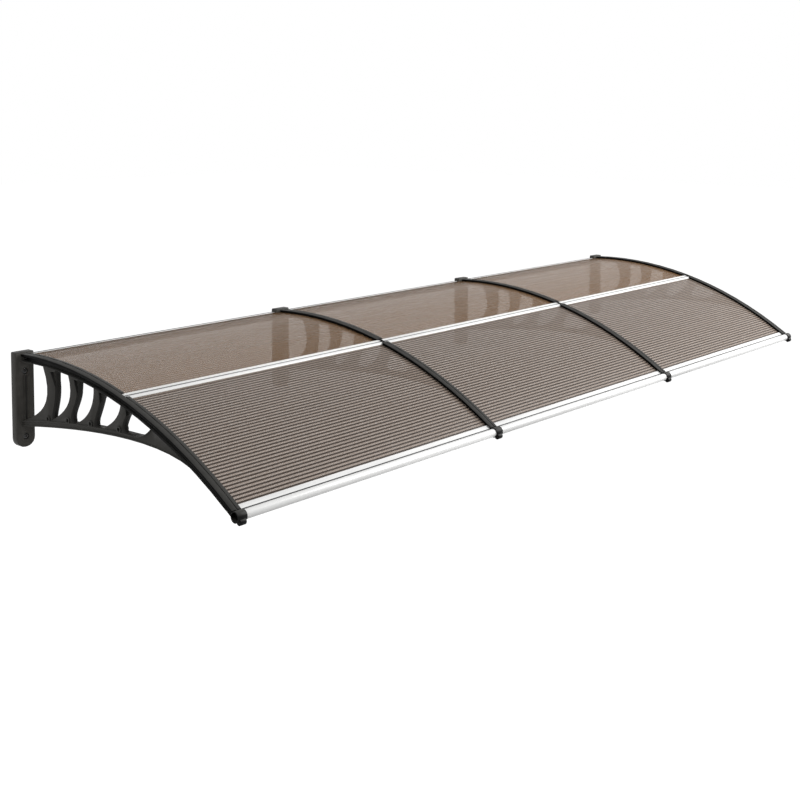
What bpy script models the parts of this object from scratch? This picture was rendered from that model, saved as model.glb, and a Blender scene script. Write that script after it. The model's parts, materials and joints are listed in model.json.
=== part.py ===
"""A door canopy: clear brown twin-wall sheets held by aluminium bars on four black moulded brackets.

X runs along the wall, Y points into the wall and Z up. The wall's face is the plane Y = 0, and the origin
is the centre of the middle rear bar's back.

Shapes are drawn in the side view with (s, z): s is the distance from the wall, z the height over the tops of
the wall plates. The arch is the circle that the upper arms' top edges follow, and n is a height over the arch.
A place on the arch is an angle at its centre, zero at its highest point and growing towards the front.
"""

import math
from collections import namedtuple

import bmesh
import bpy
from mathutils import Vector

# Driving dimensions, in metres
BAYS = 3
BAY = 1.0
CLEARANCE = 0.0003
SMOOTH_ANGLE = math.radians(28)
ROUND_SIDES = 22
HALVINGS = 40

# The arch, and the front bar's nose at its end
ARCH_RADIUS = 1.5084
ARCH_TOP_S = 0.1147
ARCH_TOP_DROP = 0.0017
NOSE_S = 0.957
NOSE_DROP = 0.0064
NOSE_RADIUS = 0.012

# The wall plate of a bracket
PLATE_WIDTH = 0.059
PLATE_DEPTH = 0.024
PLATE_HEIGHT = 0.277
PLATE_TOP_RADIUS = 0.003
PLATE_FOOT_RADIUS = 0.027
PLATE_CHAMFER = 0.002
PLATE_RIB_WIDTH = 0.005
PLATE_RIB_PROUD = 0.005
WALL_SCREW_DROPS = (0.0555, 0.2453)
WALL_SCREW_RADIUS = 0.0085
WALL_SCREW_SHANK = 0.003
WALL_SCREW_SOCKET = 0.003
SCREW_SEAT_RADIUS = 0.0095
SCREW_SEAT_DEPTH = 0.004

# The upper arm of a bracket
ARM_WIDTH = 0.029
ARM_REAR_DEPTH = 0.0225
ARM_FRONT_DEPTH = 0.0154
WEB_THICKNESS = 0.004
WEB_RISE = 0.0006
FLANGE_THICKNESS = 0.0025
LEDGE_WIDTH = 0.048
LEDGE_THICKNESS = 0.0022
ARCH_STEP = math.radians(2.6)
ARM_SCREW_S = 0.036
ARM_SCREW_DROP = 0.0125
ARM_SCREW_RADIUS = 0.003
ARM_SCREW_HEAD = 0.002
ARM_SCREW_SHANK = 0.0014

# The cover strips on the upper arm
STRIP_RIDGE = 0.0016
STRIP_PLATE = 0.0028
STRIP_DEPTH = 0.0068
STRIP_INNER_LEG = 0.0020
STRIP_OUTER_LEG = 0.0025
STRIP_END_PLATE = 0.0022
STRIP_REAR_S = 0.028

# The twin-wall sheets
SHEET_DROP = 0.0075
SHEET_THICKNESS = 0.005
SHEET_SKIN = 0.0007
SHEET_RIB = 0.0007
SHEET_CELL = 0.0114
SHEET_FACET_CELLS = 3
SHEET_END_X = 0.005
SHEET_REAR_S = 0.005

# The bars
BAR_WALL = 0.0016
MID_BAR_S = 0.4955
MID_BAR_WIDTH = 0.031
MID_BAR_FOOT = 0.024
MID_BAR_DROP = 0.0034
MID_BAR_WEB = 0.002
STRIP_GAP = 0.024
FRONT_BAR_REACH = 0.032
FRONT_BAR_PLATE = 0.002
REAR_BAR_LIP_DROP = 0.0109
REAR_BAR_LIP = 0.016
REAR_BAR_HEIGHT = 0.0301

# The lower arm, its gusset and the hook
LOWER_ARM_ROOT_DROP = 0.214
LOWER_ARM_THICKNESS = 0.016
LOWER_ARM_SWELL = 0.021
LOWER_ARM_END_THICKNESS = 0.013
LOWER_ARM_TIP_S = 0.803
LOWER_ARM_WEB = 0.022
LOWER_ARM_RIM = 0.0035
LOWER_ARM_WIDTH = 0.027
WINDOW_END_S = 0.560
GUSSET_ROOT_S = 0.640
GUSSET_WIDTH = 0.024
HOOK_WALL = 0.0022
LOBE_RADIUS = 0.0085
LOBE_FORWARD = 0.0140
LOBE_DROP = 0.0040
LOBE_WIDTH = 0.018

# Each strut: where its rear and front edges leave the upper arm and reach the lower arm, as distances from
# the wall, and how far each edge bows forward at its two thirds, as shares of its length. A pocket's values
# are shares too: of the strut's length for its head and tip, and of its width for its rear and front
Strut = namedtuple("Strut", "head_rear head_front foot_rear foot_front bow_rear bow_front")
STRUTS = (
    Strut(0.127, 0.193, 0.024, 0.172, (0.563, 0.268), (0.157, 0.125)),
    Strut(0.254, 0.304, 0.165, 0.270, (0.448, 0.203), (0.267, -0.047)),
    Strut(0.377, 0.427, 0.289, 0.378, (0.265, 0.208), (0.041, 0.003)),
    Strut(0.500, 0.548, 0.418, 0.507, (0.224, 0.121), (-0.087, -0.094)),
)
STRUT_WIDTH = 0.020
STRUT_CHAMFER_ALONG = 0.006
STRUT_CHAMFER_ACROSS = 0.005
STRUT_STATIONS = 11
STRUT_HEAD_FLARE = 0.010
STRUT_FOOT_FLARE = 0.009
POCKET_HEAD = 0.05
POCKET_TIP = 0.32
POCKET_REAR = 0.55
POCKET_FRONT = 0.92
POCKET_WEB = 0.006
BOSS_RADIUS = 0.0100
BOSS_BACK = 0.013
BOSS_RISE = 0.006
BOSS_HOLE = 0.0055
BOSS_HOLE_DEPTH = 0.006

# Derived places
ARCH_CENTRE = (ARCH_TOP_S, -ARCH_TOP_DROP - ARCH_RADIUS)
REAR_BAR_TOP = -REAR_BAR_LIP_DROP
PLATE_TOP_Z = REAR_BAR_LIP_DROP + REAR_BAR_HEIGHT / 2
HOOK_BORE = NOSE_RADIUS + CLEARANCE
HOOK_RADIUS = HOOK_BORE + HOOK_WALL
BAR_OVER_SHEET = -SHEET_DROP + CLEARANCE
BAR_UNDER_SHEET = -SHEET_DROP - SHEET_THICKNESS - CLEARANCE
BAR_END_X = WEB_THICKNESS / 2 + 2 * CLEARANCE
BRACKET_X = [(i - BAYS / 2) * BAY for i in range(BAYS + 1)]


def arch_angle(s, n=0.0):
    """The angle at which the arch, raised by n, is at the distance s from the wall."""
    return math.asin((s - ARCH_TOP_S) / (ARCH_RADIUS + n))


def on_arch(angle, n):
    """The (s, z) place at an angle of the arch and a height over it."""
    radius = ARCH_RADIUS + n
    return (
        ARCH_CENTRE[0] + radius * math.sin(angle),
        ARCH_CENTRE[1] + radius * math.cos(angle),
    )


PLATE_ANGLE = arch_angle(PLATE_DEPTH)
MID_ANGLE = arch_angle(MID_BAR_S)
NOSE_ANGLE = arch_angle(NOSE_S, -NOSE_DROP)


def from_bar(angle, forward, n):
    """The (s, z) place at a distance along the arch's tangent at an angle, and a height over the arch."""
    s, z = on_arch(angle, n)
    return (s + forward * math.cos(angle), z - forward * math.sin(angle))


def angle_ahead(angle, distance):
    """The angle at a distance along the arch from another angle."""
    return angle + distance / ARCH_RADIUS


def spaced(first, last, step):
    """Evenly spaced values from first to last, at most step apart."""
    count = max(1, math.ceil(abs(last - first) / step - 1e-6))
    return [first + (last - first) * i / count for i in range(count + 1)]


def arm_depth(angle):
    """The depth of the upper arm under the arch, which tapers from the wall to the hook."""
    share = (angle - PLATE_ANGLE) / (NOSE_ANGLE - PLATE_ANGLE)
    return ARM_REAR_DEPTH + (ARM_FRONT_DEPTH - ARM_REAR_DEPTH) * share


def arch_band(first, last, top, bottom):
    """An outline along the arch between two heights, each a value or a function of the angle."""
    angles = spaced(first, last, ARCH_STEP)
    height = lambda value, angle: value(angle) if callable(value) else value
    upper = [on_arch(a, height(top, a)) for a in angles]
    lower = [on_arch(a, height(bottom, a)) for a in reversed(angles)]
    return upper + lower


def bezier(points, share):
    """The place at a share of a Bezier curve through its end points, quadratic or cubic."""
    while len(points) > 1:
        points = [
            tuple(a + (b - a) * share for a, b in zip(p, q))
            for p, q in zip(points, points[1:])
        ]
    return points[0]


def circle(centre, radius, count, first=0.0, sweep=2 * math.pi):
    """Points round a centre, counted from straight ahead; a full circle doesn't repeat its first point."""
    steps = count if sweep >= 2 * math.pi else count - 1
    return [
        (
            centre[0] + radius * math.cos(first + sweep * i / steps),
            centre[1] + radius * math.sin(first + sweep * i / steps),
        )
        for i in range(count)
    ]


# Solids


def finish_solid(name, mesh):
    """Turn a bmesh into an object with its faces outwards."""
    bmesh.ops.recalc_face_normals(mesh, faces=mesh.faces)
    data = bpy.data.meshes.new(name)
    mesh.to_mesh(data)
    mesh.free()
    solid = bpy.data.objects.new(name, data)
    bpy.context.scene.collection.objects.link(solid)
    return solid


def extrude_along_x(name, faces, x0, x1):
    """A solid from faces drawn in the side view, which share corners where they touch."""
    mesh = bmesh.new()
    corners = {}
    for face in faces:
        for s, z in face:
            corners.setdefault((s, z), None)
    for s, z in corners:
        corners[(s, z)] = mesh.verts.new((x0, -s, z))
    for face in faces:
        mesh.faces.new([corners[corner] for corner in face])
    result = bmesh.ops.extrude_face_region(mesh, geom=mesh.faces[:])
    moved = [part for part in result["geom"] if isinstance(part, bmesh.types.BMVert)]
    bmesh.ops.translate(mesh, vec=(x1 - x0, 0, 0), verts=moved)
    return finish_solid(name, mesh)


def prism(outline, x0, x1):
    return extrude_along_x("prism", [outline], x0, x1)


def wide(outline, width):
    """A prism centred on the bracket's middle plane."""
    return prism(outline, -width / 2, width / 2)


def loft(name, rings):
    """A closed solid through rings of (x, s, z) places that have the same number of corners."""
    mesh = bmesh.new()
    loops = [[mesh.verts.new((x, -s, z)) for x, s, z in ring] for ring in rings]
    for loop, following in zip(loops, loops[1:]):
        count = len(loop)
        for i in range(count):
            j = (i + 1) % count
            mesh.faces.new((loop[i], loop[j], following[j], following[i]))
    mesh.faces.new(loops[0])
    mesh.faces.new(loops[-1])
    return finish_solid(name, mesh)


def turned(name, profile, x, z, count=12):
    """A solid turned about a line square to the wall, from (radius, s) places; the ends close on the line."""
    mesh = bmesh.new()
    inner = profile[1:-1]
    first = mesh.verts.new((x, -profile[0][1], z))
    last = mesh.verts.new((x, -profile[-1][1], z))
    rings = [
        [mesh.verts.new((x + px, -s, z + pz)) for px, pz in circle((0, 0), radius, count)]
        for radius, s in inner
    ]
    for i in range(count):
        j = (i + 1) % count
        mesh.faces.new((first, rings[0][i], rings[0][j]))
        mesh.faces.new((last, rings[-1][j], rings[-1][i]))
        for ring, following in zip(rings, rings[1:]):
            mesh.faces.new((ring[i], following[i], following[j], ring[j]))
    return finish_solid(name, mesh)


def boolean(solid, tool, operation):
    """Join or cut a solid with another, which is used up."""
    modifier = solid.modifiers.new(operation.lower(), "BOOLEAN")
    modifier.operation = operation
    modifier.solver = "EXACT"
    modifier.object = tool
    tool.hide_render = True
    tool.display_type = "WIRE"
    result = solid.evaluated_get(bpy.context.evaluated_depsgraph_get())
    made = bpy.data.meshes.new_from_object(result)
    solid.modifiers.clear()
    solid.data = made
    bpy.data.objects.remove(tool)


def merge_flat_faces(solid):
    """Merge faces that lie in one plane, which the cuts have split."""
    mesh = bmesh.new()
    mesh.from_mesh(solid.data)
    bmesh.ops.dissolve_limit(mesh, angle_limit=math.radians(0.05), verts=mesh.verts, edges=mesh.edges)
    mesh.to_mesh(solid.data)
    mesh.free()


def join(solid, tools):
    for tool in tools:
        boolean(solid, tool, "UNION")


def cut(solid, tools):
    for tool in tools:
        boolean(solid, tool, "DIFFERENCE")


# The bracket


def wall_plate():
    """The plate on the wall, with rounded corners, a chamfered front edge and a rib up its middle."""
    half = PLATE_WIDTH / 2
    quarter = math.pi / 2

    def outline(inset):
        top, foot = PLATE_TOP_RADIUS, PLATE_FOOT_RADIUS
        places = (
            (half - top, -top, top, 0, 3),
            (top - half, -top, top, quarter, 3),
            (foot - half, foot - PLATE_HEIGHT, foot, 2 * quarter, 6),
            (half - foot, foot - PLATE_HEIGHT, foot, 3 * quarter, 6),
        )
        corners = []
        for x, z, radius, first, count in places:
            corners += circle((x, z), radius - inset, count, first, quarter)
        return corners

    steps = (
        (0.0, 0.0),
        (PLATE_DEPTH - PLATE_CHAMFER, 0.0),
        (PLATE_DEPTH, PLATE_CHAMFER),
    )
    return loft("plate", [[(x, s, z) for x, z in outline(inset)] for s, inset in steps])


def plate_rib():
    """The rib on the plate between its screws, from the upper arm's foot to the lower arm's."""
    top = -WALL_SCREW_DROPS[0] - SCREW_SEAT_RADIUS
    bottom = LOWER_ARM_THICKNESS / 2 - LOWER_ARM_ROOT_DROP
    proud = PLATE_DEPTH + PLATE_RIB_PROUD
    rear = PLATE_DEPTH / 2
    outline = [
        (rear, top),
        (PLATE_DEPTH, top),
        (proud, top - PLATE_RIB_PROUD),
        (proud, bottom),
        (rear, bottom),
    ]
    return wide(outline, PLATE_RIB_WIDTH)


def flange_stop():
    """The angle at which the upper arm's flange and ledges stop for the front bar."""
    return angle_ahead(NOSE_ANGLE, -FRONT_BAR_REACH - 2 * CLEARANCE)


def upper_arm():
    """The web of the upper arm, from the plate to the hook, and the flange under it."""
    embed = FLANGE_THICKNESS / 2
    web = arch_band(arch_angle(PLATE_DEPTH / 2), NOSE_ANGLE, WEB_RISE, lambda a: embed - arm_depth(a))
    flange = arch_band(
        arch_angle(PLATE_DEPTH * 0.6),
        flange_stop(),
        lambda a: FLANGE_THICKNESS - arm_depth(a),
        lambda a: -arm_depth(a),
    )
    arm = wide(web, WEB_THICKNESS)
    join(arm, [wide(flange, ARM_WIDTH)])
    return arm


def ledge(side):
    """The shelf under the sheets on one side of the arm, in two lengths with the middle bar between them."""
    top = BAR_UNDER_SHEET
    bar_room = MID_BAR_WIDTH / 2 + CLEARANCE
    lengths = (
        (arch_angle(PLATE_DEPTH * 0.7), angle_ahead(MID_ANGLE, -bar_room)),
        (angle_ahead(MID_ANGLE, bar_room), angle_ahead(flange_stop(), -CLEARANCE)),
    )
    edges = sorted((side * WEB_THICKNESS / 4, side * LEDGE_WIDTH / 2))
    return [prism(arch_band(first, last, top, top - LEDGE_THICKNESS), *edges) for first, last in lengths]


def lower_arm_bottom(share):
    """The lower arm's bottom edge, from the plate to the upper arm."""
    tip_angle = arch_angle(LOWER_ARM_TIP_S)
    tip = on_arch(tip_angle, -arm_depth(tip_angle))
    root = (PLATE_DEPTH, -LOWER_ARM_ROOT_DROP)
    length = tip[0] - root[0]
    rise = LOWER_ARM_ROOT_DROP / 7
    points = (
        root,
        (root[0] + length / 4, root[1] + rise),
        (tip[0] - length * 0.224, tip[1] + 2 * rise),
        tip,
    )
    return bezier(points, share)


def lower_arm_top(s):
    """The place on the lower arm's top edge at a distance from the wall, up to the last window's corner."""
    low, high = 0.0, 1.0
    for _ in range(HALVINGS):
        middle = (low + high) / 2
        if lower_arm_bottom(middle)[0] < s:
            low = middle
        else:
            high = middle
    share = (s - PLATE_DEPTH) / (WINDOW_END_S - PLATE_DEPTH)
    end = LOWER_ARM_END_THICKNESS
    thickness = bezier(((LOWER_ARM_THICKNESS,), (LOWER_ARM_SWELL,), (end,), (end,)), share)[0]
    return (s, lower_arm_bottom(low)[1] + thickness)


def gusset_edge(share):
    """The gusset's rear edge, from the last window's corner up into the upper arm's flange."""
    start = lower_arm_top(WINDOW_END_S)
    head_angle = arch_angle(GUSSET_ROOT_S)
    head = on_arch(head_angle, FLANGE_THICKNESS / 2 - arm_depth(head_angle))
    return bezier((start, (start[0] * 0.43 + head[0] * 0.57, start[1]), head), share)


def raised(places, height, forward=0.0):
    """Places moved up, or down, and forward."""
    return [(s + forward, z + height) for s, z in places]


def lower_arm():
    """The lower arm: a web with a rim along each edge, and the gusset where it meets the upper arm."""
    rim, half_rim = LOWER_ARM_RIM, LOWER_ARM_RIM / 2
    first, last = arch_angle(GUSSET_ROOT_S), arch_angle(LOWER_ARM_TIP_S)
    seam = lambda sink: [on_arch(a, sink - arm_depth(a)) for a in spaced(first, last, ARCH_STEP)[1:]]
    bottom = [lower_arm_bottom(share) for share in spaced(0.0, 1.0, 1 / 14)]
    top = [lower_arm_top(s) for s in spaced(PLATE_DEPTH, WINDOW_END_S, 0.06)]
    edge = [gusset_edge(share) for share in spaced(0.2, 1.0, 0.2)]
    web_root, rim_root = PLATE_DEPTH - PLATE_CHAMFER * 2, PLATE_DEPTH - PLATE_CHAMFER

    web = [
        (web_root, top[0][1] - half_rim),
        *raised(top, -half_rim),
        *raised(edge, 0.0, half_rim),
        *seam(FLANGE_THICKNESS * 0.5),
        *reversed(raised(bottom[:-1], half_rim)),
        (web_root, bottom[0][1] + half_rim),
    ]
    arm = wide(web, LOWER_ARM_WEB)

    lower = [(rim_root, bottom[0][1]), *bottom]
    lower_rim = lower + raised(lower[:-1], rim)[::-1]
    upper = [(rim_root, top[0][1]), *top, *edge]
    inside = raised([upper[0], *top, edge[0]], -rim)
    inside += raised(edge[1:-1], -half_rim, rim) + raised(edge[-1:], 0.0, rim)
    join(arm, [wide(lower_rim, LOWER_ARM_WIDTH), wide(upper + inside[::-1], LOWER_ARM_WIDTH)])

    front = [place for place in bottom[:-1] if place[0] > GUSSET_ROOT_S]
    face = [
        *raised(edge[-1:], 0.0, half_rim),
        *seam(FLANGE_THICKNESS * 0.3),
        *reversed(raised(front, half_rim / 2)),
    ]
    join(arm, [wide(face, GUSSET_WIDTH)])
    return arm


def strut_edge(head_s, foot_s, bow, share):
    """A place on one edge of a strut, which bows forward between the upper and the lower arm."""
    head_angle = arch_angle(head_s)
    head = Vector(on_arch(head_angle, FLANGE_THICKNESS / 2 - arm_depth(head_angle)))
    foot = Vector(lower_arm_top(foot_s))
    run = foot - head
    across = Vector((-run.y, run.x))
    points = (head, head + run / 3 + across * bow[0], head + run * 2 / 3 + across * bow[1], foot)
    return Vector(bezier(points, share))


def strut_ends(strut, share):
    """The rear and front edges of a strut at a share of its length, the front one flared at both ends."""
    rear = strut_edge(strut.head_rear, strut.foot_rear, strut.bow_rear, share)
    front = strut_edge(strut.head_front, strut.foot_front, strut.bow_front, share)
    flare = STRUT_HEAD_FLARE * max(0.0, 1 - share * 4) ** 2
    flare += STRUT_FOOT_FLARE * max(0.0, share * 4 - 3) ** 2
    return rear, front + Vector((flare, 0))


def strut_body(strut):
    """A strut with chamfered corners, run down into the lower arm."""
    half = STRUT_WIDTH / 2
    rings = []
    shares = [i / (STRUT_STATIONS - 1) for i in range(STRUT_STATIONS)]
    sink = Vector((0, -LOWER_ARM_THICKNESS + LOWER_ARM_RIM))
    ends = [strut_ends(strut, share) for share in shares]
    ends.append((ends[-1][0] + sink, ends[-1][1] + sink))
    for rear, front in ends:
        along = (front - rear).normalized() * STRUT_CHAMFER_ALONG
        flat = half - STRUT_CHAMFER_ACROSS
        corners = (
            (rear, -flat),
            (rear + along, -half),
            (front - along, -half),
            (front, -flat),
            (front, flat),
            (front - along, half),
            (rear + along, half),
            (rear, flat),
        )
        rings.append([(x, place.x, place.y) for place, x in corners])
    return loft("strut", rings)


def pocket_cutters(strut, side):
    """The three-sided recess on one side of a strut's head, which makes it fork."""
    rear, front = strut_ends(strut, POCKET_HEAD)
    tip_rear, tip_front = strut_ends(strut, POCKET_TIP)
    outline = [
        tuple(rear.lerp(front, POCKET_REAR)),
        tuple(rear.lerp(front, POCKET_FRONT)),
        tuple(tip_rear.lerp(tip_front, POCKET_FRONT)),
    ]
    return [prism(outline, *sorted((side * POCKET_WEB / 2, side * STRUT_WIDTH)))]


def boss_place(strut):
    """The centre of the round boss at a strut's foot, a little behind its front edge."""
    s, z = lower_arm_top(strut.foot_front - BOSS_BACK)
    return (s, z + BOSS_RISE)


def hook_point(forward, up):
    """A place near the nose, from the nose's centre along the arch's tangent and square to it."""
    return from_bar(NOSE_ANGLE, forward, up - NOSE_DROP)


def hook_body():
    """The barrel round the front bar's nose, with the lobe in front of and under it, before it is bored."""
    ring = circle((0, 0), HOOK_RADIUS, ROUND_SIDES)
    barrel = wide([hook_point(*place) for place in ring], ARM_WIDTH - CLEARANCE)
    lobe = circle((LOBE_FORWARD, -LOBE_DROP), LOBE_RADIUS, 14)
    join(barrel, [wide([hook_point(*place) for place in lobe], LOBE_WIDTH)])
    return barrel


def hook_cutters(side, has_bar):
    """The bore on one side of the hook, and the opening to its rear for a front bar's two plates."""
    edges = sorted((side * WEB_THICKNESS / 2, side * ARM_WIDTH))
    cutters = [prism([hook_point(*place) for place in circle((0, 0), HOOK_BORE, ROUND_SIDES)], *edges)]
    if has_bar:
        top = NOSE_DROP + BAR_OVER_SHEET + FRONT_BAR_PLATE + CLEARANCE
        foot = NOSE_DROP + BAR_UNDER_SHEET - BAR_WALL - CLEARANCE
        rear, front = -ARM_WIDTH, -NOSE_RADIUS / 2
        opening = ((rear, top), (front, top), (front, foot), (rear, foot))
        cutters.append(prism([hook_point(*place) for place in opening], *edges))
    return cutters


def outer_flange(side):
    """The last stretch of the arm's flange on a side without a front bar, which runs on into the hook."""
    first = angle_ahead(NOSE_ANGLE, -FRONT_BAR_REACH - ARM_WIDTH / 4)
    last = angle_ahead(NOSE_ANGLE, -NOSE_RADIUS)
    outline = arch_band(
        first,
        last,
        lambda a: FLANGE_THICKNESS - CLEARANCE - arm_depth(a),
        lambda a: CLEARANCE - arm_depth(a),
    )
    edges = sorted((side * WEB_THICKNESS / 4, side * (ARM_WIDTH / 2 - CLEARANCE)))
    return prism(outline, *edges)


def side_cylinder(centre, radius, x0, x1, count=10):
    return prism(circle(centre, radius, count), x0, x1)


def wall_screw_cutters():
    """The seats and bores of the two wall screws."""
    cutters = []
    for drop in WALL_SCREW_DROPS:
        seat_s = PLATE_DEPTH - SCREW_SEAT_DEPTH
        bore = WALL_SCREW_SHANK + CLEARANCE
        proud = 2 * PLATE_DEPTH
        profile = [
            (0, -PLATE_DEPTH),
            (bore, -PLATE_DEPTH),
            (bore, seat_s),
            (SCREW_SEAT_RADIUS, seat_s),
            (SCREW_SEAT_RADIUS, proud),
            (0, proud),
        ]
        cutters.append(turned("seat", profile, 0.0, -drop))
    return cutters


def arm_screw_place():
    return on_arch(arch_angle(ARM_SCREW_S), -ARM_SCREW_DROP)


def bracket(name, sides):
    """One bracket in one piece; sides are those that carry sheets, -1 for the left and 1 for the right."""
    body = wall_plate()
    body.name = name
    join(body, [plate_rib(), upper_arm(), lower_arm()])
    for side in (-1, 1):
        join(body, ledge(side) if side in sides else [outer_flange(side)])
    boss_half = LOWER_ARM_WIDTH / 2 - CLEARANCE
    for strut in STRUTS:
        join(body, [strut_body(strut), side_cylinder(boss_place(strut), BOSS_RADIUS, -boss_half, boss_half)])
    join(body, [hook_body()])
    for side in (-1, 1):
        floor = side * (boss_half - BOSS_HOLE_DEPTH)
        for strut in STRUTS:
            cut(body, pocket_cutters(strut, side))
            cut(body, [side_cylinder(boss_place(strut), BOSS_HOLE, *sorted((floor, side * ARM_WIDTH)), 8)])
        cut(body, hook_cutters(side, side in sides))
    cut(body, wall_screw_cutters())
    if len(sides) < 2:
        bore = ARM_SCREW_SHANK + CLEARANCE
        cut(body, [side_cylinder(arm_screw_place(), bore, -WEB_THICKNESS, WEB_THICKNESS, 8)])
    merge_flat_faces(body)
    return body


# The cover strips


def strip_section(side):
    """The corners of a strip's section as (x, n): a sloping plate with an inner and an outer leg."""
    inner = WEB_THICKNESS / 2 + CLEARANCE
    outer = ARM_WIDTH / 2
    corners = (
        (outer, 0.0),
        (inner, STRIP_RIDGE),
        (inner, -STRIP_DEPTH),
        (inner + STRIP_INNER_LEG, -STRIP_DEPTH),
        (inner + STRIP_INNER_LEG, -STRIP_PLATE),
        (outer - STRIP_OUTER_LEG, -STRIP_PLATE),
        (outer - STRIP_OUTER_LEG, -STRIP_DEPTH),
        (outer, -STRIP_DEPTH),
    )
    return [(side * x, n) for x, n in corners]


def cover_strip(name, side, first, last, leg_first, leg_last):
    """A strip along the arm between two angles; its legs stop short over a bar."""
    rings = []
    for angle in spaced(first, last, ARCH_STEP):
        rings.append([(x, *on_arch(angle, n)) for x, n in strip_section(side)])
    strip = loft(name, rings)
    edges = sorted((side * WEB_THICKNESS / 4, side * ARM_WIDTH))
    beyond = MID_BAR_S / ARCH_RADIUS / 40
    for start, end in ((first, leg_first), (leg_last, last)):
        if end > start:
            start -= beyond if start == first else 0.0
            end += beyond if end == last else 0.0
            cut(strip, [prism(arch_band(start, end, -STRIP_END_PLATE, -2 * STRIP_DEPTH), *edges)])
    return strip


def cover_strips(index, side, has_sheets):
    """The strips on one side of a bracket: one length, or two where a middle bar comes in."""
    rear = arch_angle(STRIP_REAR_S)
    hook = angle_ahead(NOSE_ANGLE, -HOOK_RADIUS - CLEARANCE)
    hook_leg = angle_ahead(NOSE_ANGLE, -FRONT_BAR_REACH - 2 * CLEARANCE)
    name = f"cover_strip_{index}_{'left' if side < 0 else 'right'}"
    if not has_sheets:
        return [cover_strip(name, side, rear, hook, rear, hook)]
    gap = STRIP_GAP / 2
    leg = MID_BAR_WIDTH / 2 + CLEARANCE
    ahead = lambda distance: angle_ahead(MID_ANGLE, distance)
    return [
        cover_strip(name + "_rear", side, rear, ahead(-gap), rear, ahead(-leg)),
        cover_strip(name + "_front", side, ahead(gap), hook, ahead(leg), hook_leg),
    ]


# The sheets


def twin_wall_sheet(name, first, last):
    """A curved twin-wall sheet between two angles, with open channels along the wall."""
    top, bottom = -SHEET_DROP, -SHEET_DROP - SHEET_THICKNESS
    cells = max(1, round((last - first) * ARCH_RADIUS / SHEET_CELL))
    pitch = (last - first) / cells
    rib = SHEET_RIB / ARCH_RADIUS / 2
    corner = lambda i, side, n: on_arch(first + pitch * i + side * rib, n)
    over = lambda i, side: corner(i, side, top - SHEET_SKIN)
    under = lambda i, side: corner(i, side, bottom + SHEET_SKIN)
    faces = []
    for start in range(0, cells, SHEET_FACET_CELLS):
        end = min(start + SHEET_FACET_CELLS, cells)
        for outer, inner in ((top, over), (bottom, under)):
            walls = [inner(i + step, side) for i in range(start, end) for step, side in ((0, 1), (1, -1))]
            faces.append([corner(end, 0, outer), corner(start, 0, outer), *walls])
        for i in range(start + 1, end):
            faces.append([over(i, -1), over(i, 1), under(i, 1), under(i, -1)])
        before = [under(start, -1), over(start, -1)] if start else []
        rear = [corner(start, 0, top), over(start, 1), under(start, 1), corner(start, 0, bottom)]
        faces.append(rear + before)
    faces.append([corner(cells, 0, top), over(cells, -1), under(cells, -1), corner(cells, 0, bottom)])
    half = BAY / 2 - SHEET_END_X
    return extrude_along_x(name, faces, -half, half)


def rear_sheet(name):
    """A bay's rear sheet, notched round the two wall plates."""
    last = angle_ahead(MID_ANGLE, -MID_BAR_WEB / 2 - 2 * CLEARANCE)
    sheet = twin_wall_sheet(name, arch_angle(SHEET_REAR_S), last)
    notch_front = PLATE_DEPTH + CLEARANCE
    height = SHEET_DROP + 2 * SHEET_THICKNESS
    outline = [(-PLATE_DEPTH, 0), (notch_front, 0), (notch_front, -2 * height), (-PLATE_DEPTH, -2 * height)]
    inner, outer = BAY / 2 - PLATE_WIDTH / 2 - CLEARANCE, BAY / 2
    cut(sheet, [prism(outline, *sorted((side * inner, side * outer))) for side in (-1, 1)])
    return sheet


def front_sheet(name):
    """A bay's front sheet, from the middle bar to the front bar."""
    first = angle_ahead(MID_ANGLE, MID_BAR_WEB / 2 + 2 * CLEARANCE)
    return twin_wall_sheet(name, first, angle_ahead(NOSE_ANGLE, -NOSE_RADIUS - 4 * CLEARANCE))


# The bars


def bar(name, outline, inset):
    """A straight bar along a bay from its outline in the side view."""
    half = BAY / 2 - inset
    return extrude_along_x(name, [outline], -half, half)


def mid_bar(name):
    """The bar between a bay's sheets: two ridges with a groove between them, a web and a lower plate."""
    half, foot, web = MID_BAR_WIDTH / 2, MID_BAR_FOOT / 2, MID_BAR_WEB / 2
    groove = -MID_BAR_DROP - BAR_WALL
    ridge = -MID_BAR_DROP
    profile = [
        (0.0, groove),
        (half * 0.10, groove),
        (half * 0.24, ridge),
        (half * 0.80, ridge),
        (half, groove),
        (half, BAR_OVER_SHEET),
        (web, BAR_OVER_SHEET),
        (web, BAR_UNDER_SHEET),
        (foot, BAR_UNDER_SHEET),
        (foot, BAR_UNDER_SHEET - BAR_WALL),
    ]
    mirrored = [(-forward, n) for forward, n in reversed(profile[1:])]
    return bar(name, [from_bar(MID_ANGLE, *place) for place in profile + mirrored], BAR_END_X)


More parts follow.
